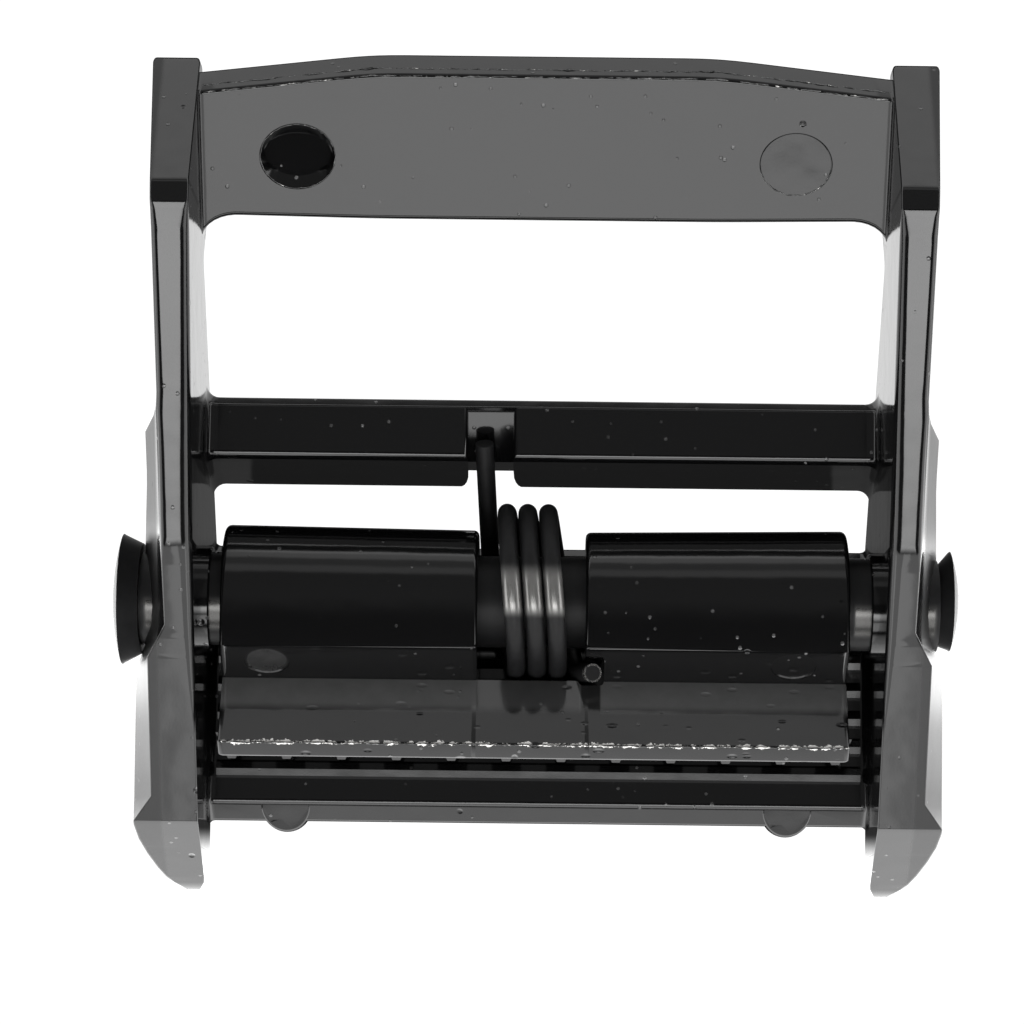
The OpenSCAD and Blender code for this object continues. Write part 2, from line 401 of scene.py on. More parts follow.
def gloss_paint(name, finish, chips=None, dents=None, dust_and_light_at=None):
    """Black gloss paint over a casting: ripple, pin holes, pale specks, dust and painted light where given,
    and bare metal at chips.
    """
    material, b = fresh_material(name)
    place = in_millimetres(b)
    outer = axes_of(b, place)[0].maths("ABSOLUTE").smooth(21.9, 22.3)
    spacing = MM / finish.speck_size
    ripple = noise(b, place, 0.55, 1.0, 0.4)
    grain = noise(b, place, 7.0, 2.0, 0.6)
    dust = cells_of(b, place, spacing)
    fine = cells_of(b, place, spacing * 2.0)
    pits = cells_of(b, place, spacing * 0.62)
    patch = noise(b, place, 0.21, 3.0, 0.6)
    speck = (1 - dust.smooth(0.03, 0.06)) * patch.smooth(0.42, 0.55)
    mote = (1 - fine.smooth(0.05, 0.13)) * patch.smooth(0.42, 0.52)
    pit = (1 - pits.smooth(0.02, 0.07)) * patch.smooth(0.4, 0.55)
    height = ripple * 0.016 + grain * 0.0009 - pit * 0.06 + speck * 0.035 + mote * 0.012
    if dents:
        height = height - dents(b, place)
    colour = blend(b, speck + mote * 0.5, (*finish.paint, 1), (0.16, 0.16, 0.16, 1))
    rough = grain * 0.05 + patch * 0.04 + speck * 0.2 + outer * 0.3 + (finish.roughness - 0.045)
    sockets = {"IOR": 1.5, "Normal": bump_of(b, height)}
    # Blend towards the pale grey: dust on the burrs, painted light on the thumb plate
    if dust_and_light_at:
        colour = blend(b, dust_and_light_at(b, place), colour, (DUST_AND_LIGHT_GREY, DUST_AND_LIGHT_GREY, DUST_AND_LIGHT_GREY, 1))
    if chips:
        wear = chips(b, place)
        colour = blend(b, wear, colour, (*finish.metal, 1))
        rough = rough + wear * 0.25
        sockets["Metallic"] = wear
    shader = b.add("ShaderNodeBsdfPrincipled", None, {"Base Color": colour, "Roughness": rough, **sockets})
    b.add("ShaderNodeOutputMaterial", None, {"Surface": shader})
    return material


def thumb_chips(b, place):
    """Where the paint has chipped off the thumb plate's upper front edge."""
    _, y, z = axes_of(b, place)
    edge = (PIN_Y + THUMB_EDGE[0], PIN_Z + THUMB_EDGE[1])
    away = ((y - edge[0]).maths("POWER", 2.0) + (z - edge[1]).maths("POWER", 2.0)).maths("SQRT")
    ragged = noise(b, place, 1.6, 4.0, 0.75)
    return (ragged * 0.95 - 0.36 - away).smooth(0.0, 0.05)


def thumb_dents(b, place):
    """Long shallow dents across the thumb plate."""
    _, y, z = axes_of(b, place)
    stretched = b.add("ShaderNodeMapping", {"vector_type": "POINT"}, {
        "Vector": place, "Scale": (0.5, 1.0, 1.0)})
    cells = cells_of(b, stretched, 1.0)
    plate = (1 - y.smooth(-12.1, -11.7)) * z.smooth(9.8, 10.2)
    return (1 - cells.smooth(0.04, 0.2)) * plate * 0.035


def lever_painted_light_and_film(b, place):
    """Painted light on the lever: a pale band along the thumb plate's root that stands in for reflected
    light, left out where the spring leg's dark reflection falls and thinner over the slot; also a thin pale
    film on the front face and a pale spot in the left mark.
    """
    x, y, z = axes_of(b, place)
    uneven = noise(b, place, 0.9, 4.0, 0.6)
    # Painted light: a pale band along the root of the thumb plate, in place of reflected light
    corner = y.between(-13.9, -13.2, -11.8, -11.74) * z.smooth(9.7, 9.9)
    # The painted light is left out where the spring leg's dark reflection falls, and thinned over the slot
    leg_reflection_gap = x.between(2.35, 2.5, 3.5, 3.65) * 0.85
    slot = x.between(SLOT_LEFT - 0.1, SLOT_LEFT + 0.1, 2.3, 2.5) * 0.6
    # A thin pale film on the front face, and a pale spot in the left ejector mark
    face = y.between(-11.8, -11.74, -10.3, -10.18) * z.smooth(9.7, 9.9)
    mark = (FRONT_MARKS[0], PIN_Y - 3.93, PIN_Z + 2.75)
    spot = (1 - distance(b, place, mark).smooth(1.1, 1.3)) * uneven * 0.4
    return corner * (uneven * 0.3 + 0.72) * (1 - leg_reflection_gap - slot) + face * 0.05 + spot


def blackened_steel(name, finish, bare, share):
    """Dark oiled steel with faint streaks, bright bare metal where the given mask says: partly rubbed wear,
    partly painted highlights.
    """
    material, b = fresh_material(name)
    place = in_millimetres(b)
    mottle = noise(b, place, 2.4, 3.0, 0.6)
    grain = noise(b, place, 12.0, 2.0, 0.6)
    bump = bump_of(b, mottle * 0.006 + grain * 0.001)
    colour = blend(b, mottle * 0.5, (*finish.steel, 1), (0.02, 0.02, 0.021, 1))
    # The mask marks bright bare metal: partly rubbed wear, partly painted highlights placed where the
    # highlights fall
    wear = bare(b, place)
    rubbed = tuple(share * part for part in finish.metal)
    colour = blend(b, wear, colour, (*rubbed, 1))
    shader = b.add("ShaderNodeBsdfPrincipled", None, {
        "Base Color": colour, "Roughness": mottle * 0.1 + 0.42 - wear * 0.22, "Metallic": wear, "IOR": 1.5,
        "Specular IOR Level": 0.2, "Normal": bump})
    b.add("ShaderNodeOutputMaterial", None, {"Surface": shader})
    return material


def pin_wear_and_highlight(b, place):
    """Bare reflective steel where the pin shows beside the barrel's ends, kept to the band where the key
    light's highlight falls: partly rubbed wear, partly a painted highlight.
    """
    x, y, z = axes_of(b, place)
    ends = x.maths("ABSOLUTE").between(18.3, 18.5, 23.0, 23.3)
    return ends * y.between(-9.2, -8.8, -7.5, -7.1) * z.smooth(8, 9)


def wire_ends_and_highlight(b, place):
    """Bright metal on the coil's crown, kept to the band where its highlights fall: partly rubbed wear,
    partly a painted highlight; and bare metal on the sheared rim of the spring's short leg.
    """
    _, y, z = axes_of(b, place)
    ragged = noise(b, place, 5.0, 3.0, 0.7)
    ring = distance(b, place, LEG_TIPS[1]).between(0.36, 0.48, 0.6, 0.66)
    # Painted highlight: bright metal on the coil's crown, narrowed to the band where the highlights fall
    crown = z.smooth(13.0, 13.4) * y.between(-8.5, -7.7, -6.6, -5.2) * 0.8
    return (ring * ragged).smooth(0.36, 0.5) + crown


def material_named(name, make, *rest):
    found = bpy.data.materials.get(name)
    return found if found else make(name, *rest)


# Side outline of a cheek and how tightly each corner is rounded
CHEEK_OUTLINE = [
    ((-21.5, 0.0), 0.3), ((-2.9, 0.0), 1.0), ((12.6, under_z(12.6)), 0.6), (under_plate(13.7, PLATE_T), 0.6),
    (under_plate(22.05, PLATE_T), 0.3), ((23.65, end_z(23.65) - 0.8), 0.25), ((23.45, end_z(23.45)), 0.25),
    ((15.0, 22.7), 0.7), ((13.8, 22.7), 0.3), ((-4.7, arm_z(-4.7)), 4.0), ((-20.1, brow_z(-20.1)), 0.15),
    ((-23.95, 2.2), 0.25), ((-23.25, 0.9), 0.3),
]


def cheek_slice(y, low, high, edge):
    """Corners and radii of a cheek cut square to Y, from its inner foot round to its outer foot."""
    nose = np.interp(y, [-23.95, -23.9, -23.65, -23.05, -22.05, -20.95, -19.5],
                     [0.9, 1.15, 1.75, 2.5, 3.2, 3.75, 4.5])
    top = np.interp(y, [-24.0, -20.1, -18.7, -10.9, -9.1, 15.0, 24.0], [3.95, 3.8, 2.7, 2.7, 1.65, 2.2, 2.8])
    top = min(top, nose - 0.04)
    reach = np.interp(y, [-24.0, -11.0, -9.8, -9.5, 2.6, 3.6, 24.0], [4.05, 4.05, 3.3, 3.4, 3.4, 2.2, 2.2])
    reach = max(min(reach, nose), top + 0.02)
    tuck = np.interp(y, [-24.0, 2.6, 3.6], [1.0, 1.0, 0.0])
    inner = HALF_IN + np.interp(y, [-23.95, -23.85, -23.6, -23.2], [0.42, 0.2, 0.06, 0.0])
    bend = max(0.0, 0.6 - (23.68 - y))
    trim = 0.6 - math.sqrt(0.36 - bend * bend)
    inner, top, reach = inner + trim, top - trim, reach - trim
    tall = high - low
    belt_high = np.interp(y, [-20.0, -11.0, -9.8, 2.6], [6.0, 6.5, 9.0, 9.5])
    belt_high = np.clip(belt_high, low + 0.45 * tall, high - 0.3 * tall)
    belt_low = np.interp(y, [-20.0, -11.0, -9.6, -4.7, 2.6], [4.5, 4.5, 3.0, 3.0, 7.0])
    belt_low = np.clip(belt_low, low + 0.1 * tall, belt_high - 0.2 * tall)
    foot = HALF_IN + max(reach - tuck * 1.4 * (belt_low - low) / (belt_low + 1), 0.5)
    fillet_in = np.interp(y, [-20, -15, -13.7, -12, -9.6, -5.2, -4, 0, 3, 12.4, 13.4, 14.0],
                          [0.1, 0.12, 0.25, 0.42, 0.6, 0.75, 0.85, 0.85, 0.75, 0.65, 0.4, edge])
    fillet_out = np.interp(y, [-5.6, -4.4, 0, 3, 12.4, 13.4, 14.0],
                           [edge, 0.55, 0.58, 0.53, 0.47, 0.35, edge])
    corners = [(inner, low), (inner, high), (HALF_IN + top, high), (HALF_IN + reach, belt_high),
               (HALF_IN + reach, belt_low), (foot, low)]
    cap = 0.3 * tall
    return corners, [min(r, cap) for r in (0.15, fillet_in, fillet_out, 1.2, 1.2, 0.25)]


def cheek(side, edge):
    """One cheek of the frame as a loft of upright slices."""
    outline, _ = rounded([c for c, r in CHEEK_OUTLINE], [r for c, r in CHEEK_OUTLINE], 6)
    last = outline[:, 0].argmax()
    first = outline[:, 0].argmin()
    chain = np.roll(outline, -first, axis=0)
    last = (last - first) % len(outline)
    lower, upper = chain[:last + 1], np.vstack([chain[last:], chain[:1]])[::-1]
    stops = set(np.round(outline[:, 0], 3)) | {-18.7, -11.0, -10.9, -9.8, -9.5, -9.1, -5.6, -4.4, 2.6, 3.6,
                                               12.4, 13.4, 14.0, 23.1, 23.2, 23.3, 23.4, 23.48, 23.55}
    stops |= set(np.round(np.arange(-23.5, 23.5, 0.8), 3))
    stops = sorted(s for s in stops if outline[:, 0].min() + 0.004 < s < outline[:, 0].max() - 0.004)
    ys = [stops[0]]
    for stop in stops[1:]:
        if stop - ys[-1] > 0.045:
            ys.append(stop)
    rings = []
    for y in ys:
        low = np.interp(y, lower[:, 0], lower[:, 1])
        high = np.interp(y, upper[:, 0], upper[:, 1])
        corners, radii = cheek_slice(y, low, high, edge)
        points, _ = rounded([(side * x, z) for x, z in corners], radii, 4)
        if side > 0:
            points = points[::-1]
        rings.append([(x, y, z) for x, z in points])
    return object_of("cheek", solid_from(rings))


def across(section, stations):
    """Rings of a Y-Z section at stations of X, each with how far the section stands out there."""
    points, normals, weights = section
    return [[(x, *(p + n * w * out)) for p, n, w in zip(points, normals, weights)] for x, out in stations]


def flare(wall, radius, steps=6, sink=0.35):
    """Stations of a fillet that runs out into a wall, from the bar towards the wall."""
    places = []
    for k in range(steps + 1):
        a = math.pi / 2 * k / steps
        places.append((wall - radius + radius * math.sin(a), radius - radius * math.cos(a)))
    return places + [(wall + sink, radius)]


def both_ends(places, middle=()):
    """Stations mirrored about the middle, from left to right."""
    return [(-x, out) for x, out in reversed(places)] + list(middle) + list(places)


# The spring's notch in the middle bar, from below: height, how much wider it gets, and how deep it reaches
NOTCH = ((1.5, 1.1, 1.62), (3.2, 0.75, 1.62), (3.35, 0.5, 1.62), (3.8, 0.28, 1.62), (4.5, 0.13, 1.62),
         (5.5, 0.03, 1.62), (7.2, 0, 1.62), (8.45, 0, 3.0), (9.15, 0, 4.2), (9.32, 0.04, 4.42),
         (9.44, 0.13, 4.52), (9.52, 0.3, 4.62), (12, 0.3, 4.62))


def middle_bar():
    corners = [(0.65, 3.2), (1.15, under_z(1.15)), (5.1, under_z(5.1)), (5.1, 8.9), (4.55, 9.5), (1.4, 9.5)]
    points, normals = rounded(corners, [0.3, 0.3, 0.3, 0.35, 0.35, 0.5], 6)
    weights = [1.0 if z > 7 or y < 0.7 else 0.15 for y, z in points]
    rings = across((points, normals, weights), both_ends(flare(HALF_IN, 0.75)))
    bar = object_of("middle_bar", solid_from(rings))
    notch = []
    for z, wide, back in NOTCH:
        left, right = -4.4 - wide, -1.7 + wide
        notch.append([(left, -1, z), (right, -1, z), (right, back, z), (left, back, z)])
    return combine(bar, [object_of("notch", solid_from(notch))], "DIFFERENCE")


# Ejector marks on the anchor plate: where, radius, and whether the pin left a pit
MARKS = ((-14.37, 18.02, 2.17, True), (14.55, 17.88, 2.09, False))


def mark_ring(x, y, wide, tall, level, slant=0.0, count=64):
    """An oval on the anchor plate's face, at a level above it, deeper towards the ridge by its slant."""
    lean = -math.copysign(math.atan(SWEEP / 10 * math.sin(SLOPE)), x)
    turn = Matrix.Rotation(lean, 4, "Y") @ Matrix.Rotation(SLOPE, 4, "X")
    centre = Vector((x, y, plate_z(y + swept_back(x))))
    ring = []
    for a in np.linspace(0, 2 * math.pi, count, endpoint=False):
        u, v = wide * math.cos(a), tall * math.sin(a)
        ring.append(centre + turn @ Vector((u, v, level - slant * v)))
    return ring


def anchor_plate():
    """The plate's section at stations of X: its ends bend back and its lip runs down into the cheeks."""
    rings = []
    places = [0, 4, 8, 9, 9.7, 10.3, 11, 12, 15]
    places += [HALF_IN - t for t in (2.3, 1.9, 1.5, 1.1, 0.7, 0.4, 0.27, 0.2, 0.13, 0.07, 0.02, -0.4)]
    xs = [-x for x in reversed(places[1:])] + places
    ridge = (22.03, plate_z(22.03))
    for x in xs:
        run = max(abs(x) - 10, 0)
        soft = 0.35 * math.exp(-((abs(x) - 10) / 0.9) ** 2)
        shift = SWEEP * (run + soft) / 10 * min(1, 10.05 / max(run, 10.05)) - 0.3
        near = max(0.0, (abs(x) - (HALF_IN - 2.1)) / 2.1)
        lip = 14.8 - 1.25 * (1 - math.sqrt(max(1 - min(near, 1) ** 2, 0)))
        along = lip + shift
        rise = 0.28 * (1 - math.sqrt(1 - min(max(0.0, abs(x) - HALF_IN + 0.28) / 0.28, 1) ** 2))
        top = [under_plate(along, PLATE_T), under_plate(22.05, PLATE_T), (23.65, end_z(23.65) - 0.8),
               (23.45, end_z(23.45)), (ridge[0], ridge[1] + rise), (along, plate_z(along) + rise)]
        points, _ = rounded([(y - shift, z) for y, z in top], [0.4, 0.3, 0.25, 0.25, 0.3, 0.35], 5)
        rings.append([(x, y, z) for y, z in points])
    plate = object_of("anchor_plate", solid_from(rings))
    cutters = []
    for x, y, r, pit in MARKS:
        if pit:
            steps = ((0.88, 0.56, -0.8, 0.3), (0.93, 0.62, -0.36, 0), (1.0, 0.9, -0.05, 0),
                     (1.03, 0.93, 0.03, 0), (1.12, 1.0, 0.5, 0))
        else:
            steps = ((0.97, 0.87, -0.07, 0.035), (1.0, 0.9, -0.04, 0.02), (1.02, 0.92, 0.02, 0),
                     (1.1, 1.0, 0.4, 0))
        rings = [mark_ring(x, y, r * wide, r * tall, level, slant) for wide, tall, level, slant in steps]
        cutters.append(object_of("ejector_mark", solid_from(rings)))
    return combine(plate, cutters, "DIFFERENCE")


def base_plate():
    corners = [(-19.65, 0.5), (-19.15, 0.02), (-3.3, 0.02), (-2.9, 0.4), (-2.9, 1.7), (-3.4, BASE_T),
               (-18.6, BASE_T), (-19.65, 1.25)]
    points, normals = rounded(corners, [0.2, 0.2, 0.2, 0.2, 0.3, 0.3, 0.6, 0.25], 5)
    weights = [0.0 if z < 0.6 else 1.0 for _, z in points]
    rings = across((points, normals, weights), both_ends(flare(HALF_IN, 0.45)))
    return object_of("base_plate", solid_from(rings))


# Fall of the base plate's front bevel, and the knobs under it
BEVEL = 0.905
KNOBS = ((-15.3, -18.8), (15.1, -18.8))
KNOB_R = 1.5


def boss(x, y, radius):
    """Round knob at the base plate's front edge, its top falling forward like the edge's bevel."""
    rings = []
    for share, z in ((0.9, 0.04), (0.97, 0.08), (1.0, 0.17), (1.0, 0.3)):
        rings.append([(u, v, z) for u, v in circle((x, y), radius * share, 48)])
    for share, drop_z in ((1.0, 0.08), (0.97, 0.02), (0.92, 0.0)):
        rings.append([(u, v, min(2.24 + (v + 18.6) * BEVEL, 2.1) - drop_z)
                      for u, v in circle((x, y), radius * share, 48)])
    return object_of("boss", solid_from(rings))


def pin_boss(side):
    """Low collar around the pin on a cheek's inner wall."""
    rings = []
    for out, radius in ((-0.2, 3.1), (0.55, 3.1), (0.63, 3.04), (0.65, 2.95)):
        rings.append([(side * (HALF_IN - out), y, z) for y, z in circle((PIN_Y, PIN_Z), radius, 64)])
    return object_of("pin_boss", solid_from(rings))


class BUCKLE_OT_casting(bpy.types.Operator):
    """Make the frame's casting: cheeks, anchor plate, middle bar and base plate"""

    bl_idname = "buckle.casting"
    bl_label = "Casting"

    def execute(self, context):
        sizes, finish = context.scene.buckle_sizes, context.scene.buckle_finish
        edge = sizes.edge_round / MM
        parts = [cheek(1, edge), anchor_plate(), middle_bar(), base_plate()]
        parts += [boss(x, y, KNOB_R) for x, y in KNOBS] + [pin_boss(-1), pin_boss(1)]
        casting = combine(cheek(-1, edge), parts, "UNION")
        casting.name = "casting"
        paint = material_named("frame_gloss_paint", gloss_paint, finish)
        finished(casting, ROOT_BODY, paint, ["frame"])
        return {"FINISHED"}


# The lever's sizes, measured from the pin
LEVER_LEFT, SLOT_LEFT, SLOT_RIGHT, LEVER_RIGHT = -18.6, -3.65, 2.65, 18.0
FALL = math.radians(42)
FRONT_MARKS = (-15.9, 14.8)
CROWN = (-3.2, 4.05)
THUMB_ROOT = (-4.74, 1.31)
THUMB_EDGE = (THUMB_ROOT[0] - 4.6 * math.cos(SLOPE), THUMB_ROOT[1] + 4.6 * math.sin(SLOPE))
THUMB_LIP = (THUMB_EDGE[0] - 1.22 * math.cos(FALL), THUMB_EDGE[1] - 1.22 * math.sin(FALL))
THUMB_HEEL = (THUMB_LIP[0] + 3.0 * math.cos(SLOPE), THUMB_LIP[1] - 3.0 * math.sin(SLOPE))


def lever_section():
    """The lever's outline with normals, which points lie on the drum, and its place in the slot."""
    plate = [((-5.0, -5.8), 0.2), ((-7.7, -5.8), 0.3), ((-7.7, -3.9), 0.4), ((-7.0, -2.2), 0.6),
             (THUMB_HEEL, 0.5), (THUMB_LIP, 0.2), (THUMB_EDGE, 0.16), (THUMB_ROOT, 0), (CROWN, 0.07)]
    barrel = [(-0.2 - 3 * t, 4.395 - 0.136 * t - 0.2073 * t * t) for t in np.linspace(0.9, 0.08, 10)]
    barrel += [(BARREL_R * math.cos(a), BARREL_R * math.sin(a))
               for a in np.radians(np.linspace(92.6, -90, 55))] + [(-3.9, -4.9)]
    corners = [c for c, r in plate] + barrel
    points, normals = rounded(corners, [r for c, r in plate] + [0] * (len(barrel) - 1) + [0.3], 4)
    radius = np.hypot(points[:, 0], points[:, 1])
    on_barrel = (np.abs(radius - BARREL_R) < 0.02) & ((points[:, 0] > -1) | (points[:, 1] < 0))
    drum = on_barrel | ((points[:, 1] > 3.5) & (points[:, 0] > -4.5))
    slot = points.copy()
    toe = (points[:, 0] > -4.8) & (points[:, 1] < -4.0) & ~drum
    for group, start, end in ((drum, 1.2, -4.5), (toe, -4.7, -5.6)):
        members = np.flatnonzero(group)
        order = members[np.argsort(-np.arctan2(points[members, 1], points[members, 0]))]
        for i, z in zip(order, np.linspace(start, end, len(order))):
            slot[i] = (np.interp(z, [0.6, THUMB_ROOT[1]], [-4.95, THUMB_ROOT[0]]), z)
    return points, normals, drum, slot


def front_mark(x):
    """Shallow ejector mark on the lever's front face."""
    centre = Vector((x, PIN_Y - 3.93, PIN_Z + 2.75))
    up, out = Vector((0, 0.49, 0.872)), Vector((0, -0.872, 0.49))
    rings = []
    for r, level, slant in ((1.22, -0.09, 0.05), (1.3, -0.05, 0.03), (1.33, 0.02, 0), (1.4, 0.3, 0)):
        rings.append([centre + Vector((u, 0, 0)) + up * v + out * (level + slant * v / r)
                      for u, v in circle((0, 0), r, 48)])
    return object_of("front_mark", solid_from(rings))


class BUCKLE_OT_cam_lever(bpy.types.Operator):
    """Make the cam lever: two barrel halves, flat face, thumb plate and jaw"""

    bl_idname = "buckle.cam_lever"
    bl_label = "Cam lever"

    def execute(self, context):
        finish = context.scene.buckle_finish
        points, normals, drum, slot = lever_section()
        # The flat faces draw in less than the drum where the ends are rounded
        ends = np.where(drum, 1.0, 0.45)
        middle = np.array([PIN_Y, PIN_Z])
        rings = []

        def ring(x, shape, out, share):
            rings.append([(x, *(middle + p + n * w * out)) for p, n, w in zip(shape, normals, share)])

        arc = [math.pi / 2 * k / 4 for k in range(5)]
        for a in arc:
            ring(LEVER_LEFT + 0.32 * (1 - math.sin(a)), points, -0.32 * (1 - math.cos(a)), ends)
        rings.reverse()
        for a in arc:
            ring(SLOT_LEFT - 0.3 * (1 - math.sin(a)), points, -0.17 - 0.3 * (1 - math.cos(a)), drum)
        ring(SLOT_LEFT, slot, 0, drum)
        ring(SLOT_RIGHT, slot, 0, drum)
        for a in reversed(arc):
            ring(SLOT_RIGHT + 0.3 * (1 - math.sin(a)), points, -0.22 - 0.3 * (1 - math.cos(a)), drum)
        for a in arc:
            ring(LEVER_RIGHT - 0.32 * (1 - math.sin(a)), points, -0.32 * (1 - math.cos(a)), ends)
        lever = object_of("cam_lever_body", solid_from(rings))
        cut = []
        notch, _ = rounded([(2.3, -5.02), (3.78, -5.02), (3.78, -3.45), (2.3, -3.45)], 0.25, 4)
        cut.append(object_of("leg_notch", solid_from(
            [[(x, y + PIN_Y, z) for x, y in notch] for z in (PIN_Z - 2.6, PIN_Z + 6.4)])))
        bore = [[(x, y, z) for y, z in circle((PIN_Y, PIN_Z), PIN_R + 0.06, 64)] for x in (-30, 30)]
        cut.append(object_of("bore", solid_from(bore)))
        cut += [front_mark(x) for x in FRONT_MARKS]
        combine(lever, cut, "DIFFERENCE")
        lever.name = "cam_lever_casting"
        paint = material_named("lever_gloss_paint", gloss_paint, finish, thumb_chips, thumb_dents,
                               lever_painted_light_and_film)
        finished(lever, LEVER_BODY, paint, ["cam_lever"])
        return {"FINISHED"}


# Rivet heads: side, where the head starts, its radius, the length of its cone and the height of its dome
PIN_HEADS = ((-1, 23.5, 3.85, 1.15, 0.55), (1, 23.4, 2.95, 0.8, 0.5))


class BUCKLE_OT_pivot_pin(bpy.types.Operator):
    """Make the pin with its two rivet heads"""

    bl_idname = "buckle.pivot_pin"
    bl_label = "Pivot pin"

    def execute(self, context):
        finish = context.scene.buckle_finish
        outline = []
        for side, seat, rim, cone, dome in PIN_HEADS:
            half = [(PIN_R, seat), (rim - 0.6, seat), (rim - 0.06, seat + cone - 0.08), (rim, seat + cone)]
            half += [(rim * r, seat + cone + dome * (1 - r * r))
                     for r in (0.985, 0.96, 0.9, 0.8, 0.65, 0.45, 0.2, 0)]
            half = [(max(r, 0.02), side * x) for r, x in half]
            outline = list(reversed(half)) + outline if side < 0 else outline + half
        rings = []
        for radius, x in outline:
            aside = np.interp(x, [-24, -23.3, 23.3, 24], [-0.05, 0, 0, 0.34])
            rings.append([(x, y, z) for y, z in circle((PIN_Y + aside, PIN_Z), radius, 96)])
        pin = object_of("riveted_pin", solid_from(rings))
        steel = material_named("blackened_pin_steel", blackened_steel, finish, pin_wear_and_highlight, 0.1)
        finished(pin, ROOT_BODY, steel, ["pivot_pin"])
        return {"FINISHED"}


# Cut ends of the long and the short leg
LEG_TIPS = ((-3.42, 2.42, 9.16), (3.1, -11.4, 11.4))


# The coil's centre line: radius, first and last angle, distance from turn to turn, and lean
COIL_R = 4.7
COIL_START, COIL_END = -54.8, -1260
COIL_PITCH = 1.22
COIL_LEAN = 7.3


def coil_point(a):
    """Centre line of the coil at an angle, by the same rule as the solid's coil."""
    dy, dz = COIL_R * math.cos(math.radians(a)), COIL_R * math.sin(math.radians(a))
    lead = 0.28 * max(0, 1 - (COIL_START - a) / 150) ** 2
    x = -1.7 + COIL_PITCH * (-270 - a) / 360 - tan(COIL_LEAN) * dy - lead
    return Vector((x, PIN_Y + 0.6 + dy, PIN_Z + dz))


def node_group(name, inputs):
    """A geometry tree with named inputs; gives back its bench and the group's wires."""
    tree = bpy.data.node_groups.new(name, "GeometryNodeTree")
    tree.interface.new_socket(name="Geometry", in_out="INPUT", socket_type="NodeSocketGeometry")
    for label, kind in inputs:
        tree.interface.new_socket(name=label, in_out="INPUT", socket_type=kind)
    tree.interface.new_socket(name="Geometry", in_out="OUTPUT", socket_type="NodeSocketGeometry")
    b = Bench(tree)
    source = tree.nodes.new("NodeGroupInput")
    wires = {socket.name: Wire(tree, socket) for socket in source.outputs if socket.name}
    return b, wires


def grown(name, mesh, tree, values):
    """Run a geometry tree on a mesh and keep its result as a plain mesh object, in millimetres."""
    obj = bpy.data.objects.new(name, mesh)
    bpy.context.collection.objects.link(obj)
    modifier = obj.modifiers.new(name, "NODES")
    modifier.node_group = tree
    for item in tree.interface.items_tree:
        if item.item_type == "SOCKET" and item.in_out == "INPUT" and item.name in values:
            modifier[item.identifier] = values[item.name]
    settle(obj)
    if len(obj.data.polygons) == 0:
        raise RuntimeError(name + " came out empty")
    return obj


def row_tree(name, kind):
    """Copies of one cast ridge or tooth in a row."""
    b, g = node_group(name, [
        ("Count", "NodeSocketInt"), ("Start", "NodeSocketVector"), ("Step", "NodeSocketVector"),
        ("Width", "NodeSocketFloat"), ("Height", "NodeSocketFloat"), ("Length", "NodeSocketFloat"),
        ("Finish", "NodeSocketMaterial")])
    line = b.add("GeometryNodeMeshLine", {"mode": "OFFSET"}, {
        "Count": g["Count"], "Start Location": g["Start"], "Offset": g["Step"]})
    if kind == "rib":
        half = b.add("ShaderNodeCombineXYZ", None, {"X": g["Length"] * 0.5})
        other = b.add("ShaderNodeCombineXYZ", None, {"X": g["Length"] * -0.5})
        path = b.add("GeometryNodeCurvePrimitiveLine", None, {"Start": other, "End": half})
        ring = b.add("GeometryNodeCurvePrimitiveCircle", None, {"Resolution": 8, "Radius": 1.0})
        bar = b.add("GeometryNodeCurveToMesh", None, {
            "Curve": path, "Profile Curve": ring, "Fill Caps": True})
        size = b.add("ShaderNodeCombineXYZ", None, {"X": 1.0, "Y": g["Width"] * 0.5, "Z": g["Height"]})
        piece = b.add("GeometryNodeTransform", None, {"Geometry": bar, "Scale": size})
    else:
        cone = b.add("GeometryNodeMeshCone", None, {
            "Vertices": 4, "Side Segments": 1, "Radius Top": 0.17, "Radius Bottom": 0.7071, "Depth": 1.0})
        turned = b.add("GeometryNodeTransform", None, {
            "Geometry": cone, "Rotation": (0, 0, math.radians(45))})
        size = b.add("ShaderNodeCombineXYZ", None, {"X": g["Width"], "Y": g["Height"], "Z": g["Length"]})
        scaled = b.add("GeometryNodeTransform", None, {"Geometry": turned, "Scale": size})
        piece = b.add("GeometryNodeTransform", None, {
            "Geometry": scaled, "Rotation": (math.radians(90), 0, 0)})
    row = b.add("GeometryNodeInstanceOnPoints", None, {"Points": line, "Instance": piece})
    real = b.add("GeometryNodeRealizeInstances", None, {"Geometry": row})
    dressed = b.add("GeometryNodeSetMaterial", None, {"Geometry": real, "Material": g["Finish"]})
    b.add("NodeGroupOutput", None, {0: dressed})
    return b.tree


def wire_tree(name):
    """A round wire along a line of points."""
    b, g = node_group(name, [("Radius", "NodeSocketFloat"), ("Sides", "NodeSocketInt"),
                             ("Finish", "NodeSocketMaterial")])
    path = b.add("GeometryNodeMeshToCurve", None, {"Mesh": g["Geometry"]})
    ring = b.add("GeometryNodeCurvePrimitiveCircle", None, {"Resolution": g["Sides"], "Radius": g["Radius"]})
    wire = b.add("GeometryNodeCurveToMesh", None, {"Curve": path, "Profile Curve": ring, "Fill Caps": True})
    real = b.add("GeometryNodeRealizeInstances", None, {"Geometry": wire})
    dressed = b.add("GeometryNodeSetMaterial", None, {"Geometry": real, "Material": g["Finish"]})
    b.add("NodeGroupOutput", None, {0: dressed})
    return b.tree


